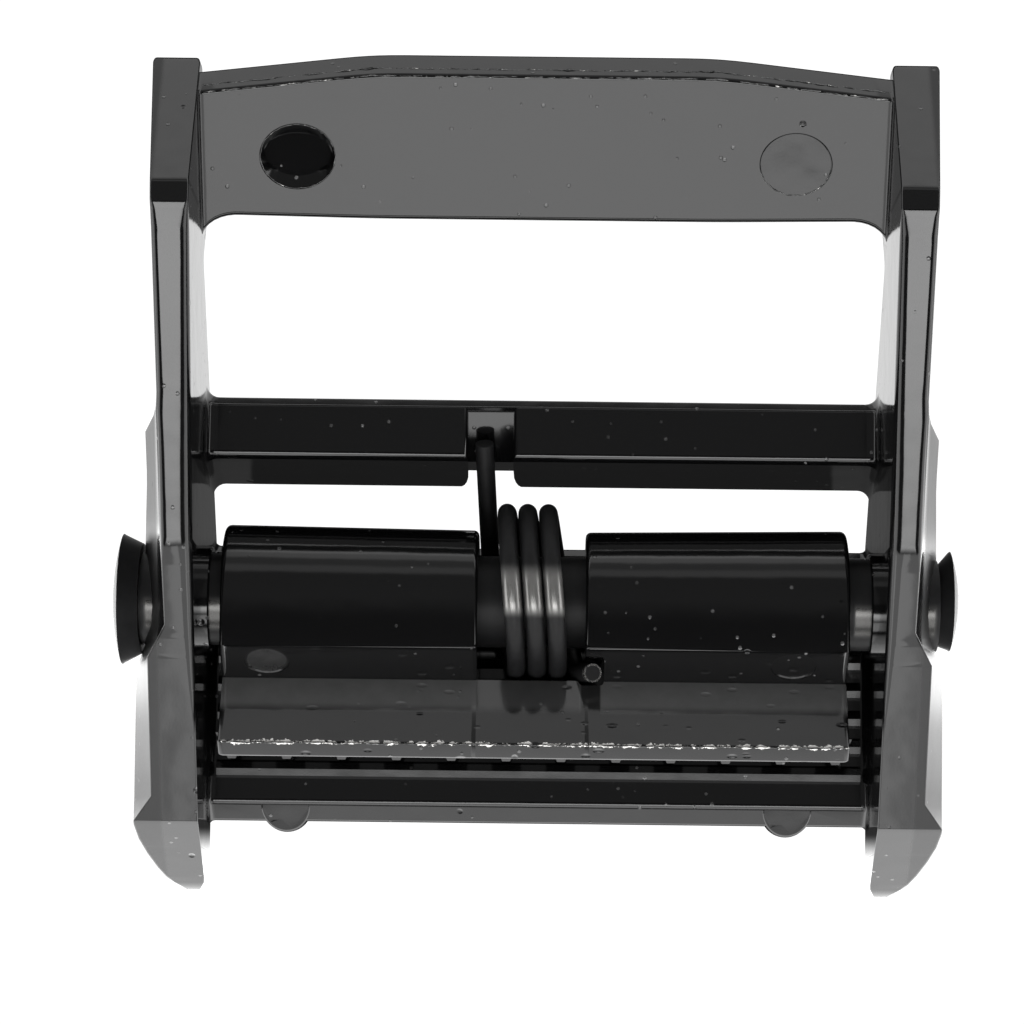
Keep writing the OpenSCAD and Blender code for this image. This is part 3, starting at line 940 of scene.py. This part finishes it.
def flash_tree(name):
    """A thin ragged burr along a line: its height and sideways wander come from seeded noise."""
    b, g = node_group(name, [("Thickness", "NodeSocketFloat"), ("Wander", "NodeSocketFloat"),
                             ("Grain", "NodeSocketFloat"), ("Seed", "NodeSocketFloat"),
                             ("Finish", "NodeSocketMaterial")])
    path = b.add("GeometryNodeMeshToCurve", None, {"Mesh": g["Geometry"]})
    fine = b.add("GeometryNodeResampleCurve", {"mode": "LENGTH"}, {"Curve": path, "Length": 0.09})
    here = b.add("GeometryNodeInputPosition")
    spread = b.add("ShaderNodeTexNoise", {"noise_dimensions": "4D"}, {
        "Vector": here, "W": g["Seed"], "Scale": g["Grain"], "Detail": 3.0, "Roughness": 0.7}, out=1)
    centred = b.add("ShaderNodeVectorMath", {"operation": "SUBTRACT"}, {0: spread, 1: (0.5, 0.5, 0.5)})
    scale = b.add("ShaderNodeVectorMath", {"operation": "SCALE"}, {0: centred, "Scale": g["Wander"]})
    moved = b.add("GeometryNodeSetPosition", None, {"Geometry": fine, "Offset": scale})
    swell = b.add("ShaderNodeTexNoise", {"noise_dimensions": "4D"}, {
        "Vector": here, "W": g["Seed"] + 7.0, "Scale": g["Grain"] * 1.7, "Detail": 3.0, "Roughness": 0.7})
    radius = b.add("ShaderNodeMapRange", None, {"Value": swell, 1: 0.36, 2: 0.64, 3: 0.25, 4: 1.25})
    ring = b.add("GeometryNodeCurvePrimitiveCircle", None, {"Resolution": 6, "Radius": 1.0})
    burr = b.add("GeometryNodeCurveToMesh", None, {
        "Curve": moved, "Profile Curve": ring, "Scale": radius * g["Thickness"], "Fill Caps": True})
    real = b.add("GeometryNodeRealizeInstances", None, {"Geometry": burr})
    dressed = b.add("GeometryNodeSetMaterial", None, {"Geometry": real, "Material": g["Finish"]})
    b.add("NodeGroupOutput", None, {0: dressed})
    return b.tree


def polyline(name, lines):
    """A mesh of edges only, through lists of points."""
    points, edges = [], []
    for line in lines:
        base = len(points)
        points += [tuple(p) for p in line]
        edges += [(base + k, base + k + 1) for k in range(len(line) - 1)]
    mesh = bpy.data.meshes.new(name)
    mesh.from_pydata(points, edges, [])
    return mesh


class BUCKLE_OT_torsion_spring(bpy.types.Operator):
    """Wind the spring's wire around the pin"""

    bl_idname = "buckle.torsion_spring"
    bl_label = "Torsion spring"

    def execute(self, context):
        sizes, finish = context.scene.buckle_sizes, context.scene.buckle_finish
        coil = [coil_point(a) for a in np.linspace(COIL_START, COIL_END, 240)]
        start, end = Vector(LEG_TIPS[0]), Vector(LEG_TIPS[1])
        line = [start.lerp(coil[0], t) for t in (0, 0.25, 0.5, 0.75, 0.92)] + coil
        line += [coil[-1].lerp(end, t) for t in (0.08, 0.3, 0.6, 1.0)]
        steel = material_named("spring_wire_steel", blackened_steel, finish, wire_ends_and_highlight, 0.5)
        spring = grown("wound_spring", polyline("spring_line", [line]), wire_tree("wound_wire"),
                       {"Radius": sizes.wire_diameter / MM / 2, "Sides": 24, "Finish": steel})
        finished(spring, ROOT_BODY, steel, ["torsion_spring"], 40)
        return {"FINISHED"}


class BUCKLE_OT_ribs_and_teeth(bpy.types.Operator):
    """Set the cross ribs on the base plate and the teeth along the cam"""

    bl_idname = "buckle.ribs_and_teeth"
    bl_label = "Ribs and teeth"

    def execute(self, context):
        sizes, finish = context.scene.buckle_sizes, context.scene.buckle_finish
        paint = material_named("frame_gloss_paint", gloss_paint, finish)
        lever_paint = material_named("lever_gloss_paint", gloss_paint, finish, thumb_chips, thumb_dents,
                                     lever_painted_light_and_film)
        blank = bpy.data.meshes.new("rib_start")
        ribs = grown("cross_ribs", blank, row_tree("rib_row", "rib"), {
            "Count": sizes.rib_count, "Start": (0, -4.7, BASE_T - 0.05),
            "Step": (0, -sizes.rib_pitch / MM, 0), "Width": 1.14, "Height": 0.52, "Length": 39.0,
            "Finish": paint})
        finished(ribs, ROOT_BODY, paint, (), 40)
        pitch = 3.3
        first = -0.3 - pitch * (sizes.tooth_count - 1) / 2
        blank = bpy.data.meshes.new("tooth_start")
        teeth = grown("cam_teeth", blank, row_tree("tooth_row", "tooth"), {
            "Count": sizes.tooth_count, "Start": (first, PIN_Y - 7.6, PIN_Z - 4.85), "Step": (pitch, 0, 0),
            "Width": 1.9, "Height": 1.8, "Length": 1.5, "Finish": lever_paint})
        finished(teeth, LEVER_BODY, lever_paint, (), 30)
        return {"FINISHED"}


def bare_burr(name, finish, start, film=0.0):
    """Thin paint on a sharp burr, dusty, and worn through to bright metal where the noise passes start."""
    def worn(b, place):
        ragged = noise(b, place, 1.3, 4.0, 0.7)
        return ragged.smooth(start, start + 0.12)

    def dusted(b, place):
        uneven = noise(b, place, 2.1, 2.0, 0.6)
        return uneven.smooth(0.3, 0.6) * (film / DUST_AND_LIGHT_GREY)

    return gloss_paint(name, finish, worn, None, dusted if film else None)


class BUCKLE_OT_burrs(bpy.types.Operator):
    """Lay the ragged casting burrs along the parting lines and the thumb plate's edge"""

    bl_idname = "buckle.burrs"
    bl_label = "Burrs"

    def execute(self, context):
        finish = context.scene.buckle_finish
        burr = material_named("worn_burr_paint", bare_burr, finish, 0.52)
        dusty = material_named("dusty_burr_paint", bare_burr, finish, 0.57, 0.09)
        strip, lip = [], []
        for x in np.linspace(-21.9, 21.9, 89):
            shift = swept_back(min(abs(x), HALF_IN))
            strip.append((x, 22.5 - shift, end_z(22.5 - max(abs(x) - 20, 0) * 0.1) + 0.01))
        for x in np.linspace(-19.7, 19.7, 81):
            lip.append((x, 22.0 - swept_back(x), plate_z(22.0) - 0.05))
        tree = flash_tree("ragged_burr")

        def lay(name, lines, thickness, wander, grain, seed, paint, body):
            line = polyline(name.replace("burr", "line"), lines)
            obj = grown(name, line, tree, {
                "Thickness": thickness, "Wander": wander, "Grain": grain, "Seed": seed, "Finish": paint})
            finished(obj, body, paint, (), 60)

        lay("parting_burr", [strip], 0.035, 0.3, 1.3, 3.0, dusty, ROOT_BODY)
        lay("plate_burr", [lip], 0.05, 0.22, 1.6, 8.0, dusty, ROOT_BODY)
        rims = []
        for x, y, r, pit in MARKS:
            ring = mark_ring(x, y, r, r * 0.89, 0.0, 0.0, 48)
            rims.append([ring[k % 48] for k in (range(49) if pit else range(26, 47))])
        lay("mark_burr", rims, 0.04, 0.16, 2.2, 11.0, dusty, ROOT_BODY)
        y, z = PIN_Y + THUMB_EDGE[0] - 0.03, PIN_Z + THUMB_EDGE[1]
        thumb = [(x, y, z) for x in np.linspace(LEVER_LEFT + 0.3, LEVER_RIGHT - 0.3, 60)]
        lay("thumb_burr", [thumb], 0.045, 0.24, 1.9, 5.0, burr, LEVER_BODY)
        return {"FINISHED"}


def studio_world(stage):
    """Soft boxes and pale walls as a pattern of directions: dark overhead, bright towards the load end."""
    world = bpy.data.worlds.new("studio")
    world.use_nodes = True
    b = Bench(world.node_tree)
    direction = b.add("ShaderNodeTexCoord", out=0)
    x, y, z = axes_of(b, direction)
    tilt = (y * -1.0).maths("ARCTAN2", z) * (180 / math.pi)
    back = tilt * -1.0
    side = x.maths("ABSOLUTE")
    key = tilt.between(21.5, 25.5, 27, 44) * (1 - side.smooth(0.42, 0.5))
    fill = tilt.between(41, 44, 60, 66) * (1 - side.smooth(0.75, 0.9))
    fill = fill * (1 - side.smooth(0.098, 0.106) * 0.45)
    front = tilt.smooth(68, 80) * 2.0 + tilt.smooth(80, 92) * 0.8
    line = back.between(35, 41, 46, 53) * 0.5
    rear = line + back.smooth(46, 54) * 0.2 + back.smooth(60, 65) * 0.65 + back.smooth(71, 73.5) * 0.6
    over = back.smooth(-6, 1) * 0.15
    walls = side.smooth(0.5, 0.7)
    sides = (1 - z.smooth(0.34, 0.42)) * walls
    boxes = key * stage.key + fill * stage.fill
    light = boxes + (front + rear) * (1 - walls) + sides * stage.horizon + over + 0.05
    camera = b.add("ShaderNodeLightPath", out=0)
    level = light * (1 - camera) + camera * stage.floor
    sky = b.add("ShaderNodeBackground", None, {"Color": (1, 1, 1, 1), "Strength": level})
    b.add("ShaderNodeOutputWorld", None, {"Surface": sky})
    return world


def floor_material(stage):
    """White to the eye; to reflections it glows, falling off behind the buckle, with a painted shadow under
    the buckle.
    """
    material, b = fresh_material("pale_floor")
    x, y, _ = axes_of(b, in_millimetres(b))
    side = x.maths("ABSOLUTE")
    far = (y * -1.0).smooth(45, 110)
    front = (1 - y.smooth(-23, -20)) * (3.85 - far * 1.1)
    glow = 2.3 + y.smooth(-14, -11) * 2.2 - y.smooth(-4, -1) * 3.3
    beside = side.smooth(22, 24) * y.between(-23, -20, 22, 30) * glow
    behind = y.smooth(23, 25) * (0.55 - y.smooth(32, 42) * 0.45)
    within = (1 - side.smooth(19.5, 21)) * y.between(2, 5, 22, 24) * 1.1
    gap = side.between(17.9, 18.2, 19.8, 21) * y.between(-4, -2, 2, 5) * 0.07
    # Under the buckle only the faint base glow is left: a painted shadow
    level = (front + beside + behind + within + gap + 0.04) * 0.25
    camera = b.add("ShaderNodeLightPath", out=0)
    shade = level * (1 - camera) + camera * (stage.floor / 4)
    grey = b.add("ShaderNodeCombineXYZ", None, {"X": shade, "Y": shade, "Z": shade})
    shader = b.add("ShaderNodeBsdfPrincipled", None, {
        "Base Color": (0, 0, 0, 1), "Roughness": 1.0, "Specular IOR Level": 0.0, "Emission Color": grey,
        "Emission Strength": 4.0})
    b.add("ShaderNodeOutputMaterial", None, {"Surface": shader})
    return material


# The camera: what it looks at, from how far and how steeply, its roll, and the photograph's focal length,
# width and optical centre in pixels
TARGET = (0, -2.2, 13.1)
AWAY = 203
STEEP = math.radians(82)
ROLL = math.radians(0.65)
FOCAL, WIDTH, OPTIC_X = 3491.6, 1024, 541.3


class BUCKLE_OT_stage(bpy.types.Operator):
    """Set the pale floor, the studio light and the camera"""

    bl_idname = "buckle.stage"
    bl_label = "Stage"

    def execute(self, context):
        stage = context.scene.buckle_stage
        scene = context.scene
        bm = bmesh.new()
        bmesh.ops.create_circle(bm, cap_ends=True, segments=96, radius=3.0)
        floor = object_of("floor", bm)
        floor.data.transform(Matrix.Translation((0, 0, -0.00005)))
        floor.data.materials.append(floor_material(stage))
        scene.world = studio_world(stage)
        scene.view_settings.view_transform = "Standard"

        back = Vector((0, -math.cos(STEEP), math.sin(STEEP)))
        data = bpy.data.cameras.new("view")
        data.sensor_width = 36.0
        data.lens = FOCAL / WIDTH * data.sensor_width
        data.shift_x = -(OPTIC_X - WIDTH / 2) / WIDTH
        data.clip_start = 0.01
        camera = bpy.data.objects.new("view", data)
        context.collection.objects.link(camera)
        turn = (-back).to_track_quat("-Z", "Y").to_matrix().to_4x4()
        turn = turn @ Matrix.Rotation(ROLL, 4, "Z")
        camera.matrix_world = Matrix.Translation((Vector(TARGET) + back * AWAY) * MM) @ turn
        scene.camera = camera
        return {"FINISHED"}


STEPS = ("casting", "cam_lever", "pivot_pin", "torsion_spring", "ribs_and_teeth", "burrs", "stage")


class BUCKLE_PT_panel(bpy.types.Panel):
    """Buttons for each piece"""

    bl_idname = "BUCKLE_PT_panel"
    bl_label = "Cam buckle"
    bl_space_type = "VIEW_3D"
    bl_region_type = "UI"
    bl_category = "Cam buckle"

    def draw(self, context):
        column = self.layout.column()
        for group in (context.scene.buckle_sizes, context.scene.buckle_finish, context.scene.buckle_stage):
            for name in group.__annotations__:
                column.prop(group, name)
        for step in STEPS:
            column.operator("buckle." + step)


CLASSES = (BuckleSizes, BuckleFinish, BuckleStage, BUCKLE_OT_casting, BUCKLE_OT_cam_lever,
           BUCKLE_OT_pivot_pin, BUCKLE_OT_torsion_spring, BUCKLE_OT_ribs_and_teeth, BUCKLE_OT_burrs,
           BUCKLE_OT_stage, BUCKLE_PT_panel)


def register():
    for cls in CLASSES:
        bpy.utils.register_class(cls)
    bpy.types.Scene.buckle_sizes = bpy.props.PointerProperty(type=BuckleSizes)
    bpy.types.Scene.buckle_finish = bpy.props.PointerProperty(type=BuckleFinish)
    bpy.types.Scene.buckle_stage = bpy.props.PointerProperty(type=BuckleStage)


def unregister():
    del bpy.types.Scene.buckle_stage
    del bpy.types.Scene.buckle_finish
    del bpy.types.Scene.buckle_sizes
    for cls in reversed(CLASSES):
        bpy.utils.unregister_class(cls)


def main():
    register()
    for step in STEPS:
        getattr(bpy.ops.buckle, step)()


if __name__ == "__main__":
    main()
